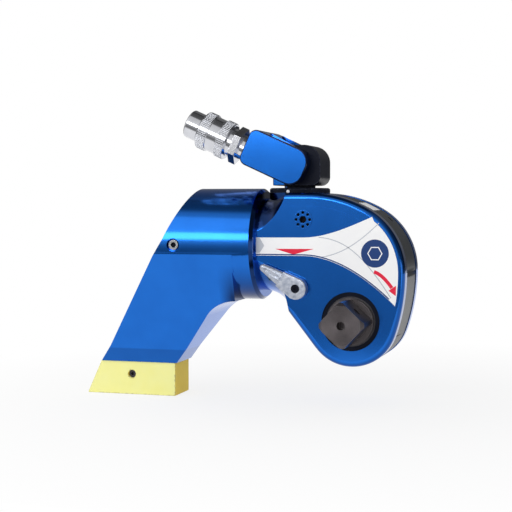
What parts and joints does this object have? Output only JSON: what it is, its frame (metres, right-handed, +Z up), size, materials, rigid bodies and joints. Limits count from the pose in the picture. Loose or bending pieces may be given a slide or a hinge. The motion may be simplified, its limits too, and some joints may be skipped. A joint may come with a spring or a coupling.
{
  "type": "hydraulic torque wrench",
  "caption": "Square drive hydraulic torque wrench with a ratchet head, a slide-on reaction arm with a foot pad, a release lever and a tilting hose swivel with couplers.",
  "frame": {"origin": "on the square drive's axis, midway through the head's width", "axes": "+X from the drive towards the shroud side, +Y towards the retainer button, +Z up towards the hose swivel; the square drive leaves along -Y"},
  "size_m": [0.2581, 0.1103, 0.223],
  "materials": {
    "blue_metal": "satin blue anodised",
    "black_metal": "black anodised",
    "dark_cover": "satin black",
    "black_steel": "black oxide",
    "plain_steel": "machined",
    "bright_steel": "bright plated",
    "lever_metal": "bead blasted",
    "pad_paint": "satin yellow",
    "seal_rubber": "matt"
  },
  "bodies": {
    "housing": {"housing": "blue_metal", "cylinder_end_cap": "black_steel", "rod_gland": "black_steel", "rod_seal": "seal_rubber", "drive_sleeves": "black_steel", "reaction_arm": "blue_metal", "arm_lock_screw": "bright_steel", "reaction_pad": "pad_paint", "pad_screw": "black_steel", "shroud": "dark_cover", "shroud_spacer": "plain_steel", "shroud_screw": "black_steel", "vent_plug": "blue_metal", "passage_plug": "bright_steel", "swivel_nut": "black_metal"},
    "crank": {"drive_plate_front": "plain_steel", "drive_plate_rear": "plain_steel", "crank_pin": "bright_steel", "drive_pawl_pin": "bright_steel"},
    "piston": {"piston": "plain_steel", "piston_seal": "seal_rubber", "piston_rod": "bright_steel"},
    "drive_pawl": {"drive_pawl": "black_steel", "drive_pawl_springs": "plain_steel"},
    "drive": {"ratchet_wheel": "black_steel", "square_drive": "black_steel", "drive_retainer": "plain_steel", "retainer_spring": "plain_steel"},
    "button": {"retainer_button": "bright_steel"},
    "release": {"release_shaft": "plain_steel", "release_lever": "lever_metal", "lever_screw": "black_steel", "reaction_pawl": "black_steel", "reaction_pawl_springs": "plain_steel"},
    "post": {"swivel_post": "blue_metal", "stem_seals": "seal_rubber"},
    "yoke": {"swivel_yoke": "blue_metal", "tilt_axle": "plain_steel", "axle_seals": "seal_rubber", "axle_clip": "black_steel", "female_coupler": "bright_steel", "male_coupler": "bright_steel", "sleeve_spring": "plain_steel", "female_spring": "plain_steel", "male_spring": "plain_steel"},
    "collar": {"locking_sleeve": "bright_steel"},
    "female_valve": {"female_poppet": "plain_steel"},
    "male_valve": {"male_poppet": "plain_steel"}
  },
  "joints": [
    {"name": "crank_turn", "type": "hinge", "parent": "housing", "child": "crank", "pos_m": [0, 0, 0], "axis": [0, 1, 0], "range_deg": [0, 30]},
    {"name": "piston_slide", "type": "slide", "parent": "housing", "child": "piston", "axis": [1, 0, 0], "range_m": [0, 0.0293]},
    {"name": "ratchet_turn", "type": "hinge", "parent": "crank", "child": "drive", "pos_m": [0, 0, 0], "axis": [0, 1, 0], "continuous": true},
    {"name": "drive_pawl_lift", "type": "hinge", "parent": "crank", "child": "drive_pawl", "pos_m": [0.00608, 0, 0.03447], "axis": [0, -1, 0], "range_deg": [-3.5, 3], "stiffness_Nm_per_rad": 0.2},
    {"name": "retainer_press", "type": "slide", "parent": "drive", "child": "button", "axis": [0, -1, 0], "range_m": [0, 0.0025], "stiffness_N_per_m": 900, "springref_m": -0.003, "deforming": ["retainer_spring"]},
    {"name": "release_turn", "type": "hinge", "parent": "housing", "child": "release", "pos_m": [-0.04, 0, 0.024], "axis": [0, -1, 0], "range_deg": [-3, 12], "stiffness_Nm_per_rad": 0.5},
    {"name": "swivel_turn", "type": "hinge", "parent": "housing", "child": "post", "pos_m": [-0.0469, 0, 0.097], "axis": [0, 0, 1], "continuous": true},
    {"name": "swivel_tilt", "type": "hinge", "parent": "post", "child": "yoke", "pos_m": [-0.0469, 0, 0.115], "axis": [0, 1, 0], "range_deg": [-22, 153]},
    {"name": "sleeve_slide", "type": "slide", "parent": "yoke", "child": "collar", "axis": [0.91, 0, -0.4147], "range_m": [0, 0.004], "stiffness_N_per_m": 1500, "springref_m": -0.003, "deforming": ["sleeve_spring"]},
    {"name": "female_valve_slide", "type": "slide", "parent": "yoke", "child": "female_valve", "axis": [0.91, 0, -0.4147], "range_m": [0, 0.003], "stiffness_N_per_m": 800, "springref_m": -0.003, "deforming": ["female_spring"]},
    {"name": "male_valve_slide", "type": "slide", "parent": "yoke", "child": "male_valve", "axis": [0.91, 0, -0.4147], "range_m": [0, 0.003], "stiffness_N_per_m": 800, "springref_m": -0.003, "deforming": ["male_spring"]}
  ],
  "couplings": [
    {"joint": "piston_slide", "follows": "crank_turn", "m_per_rad": 0.055819}
  ]
}
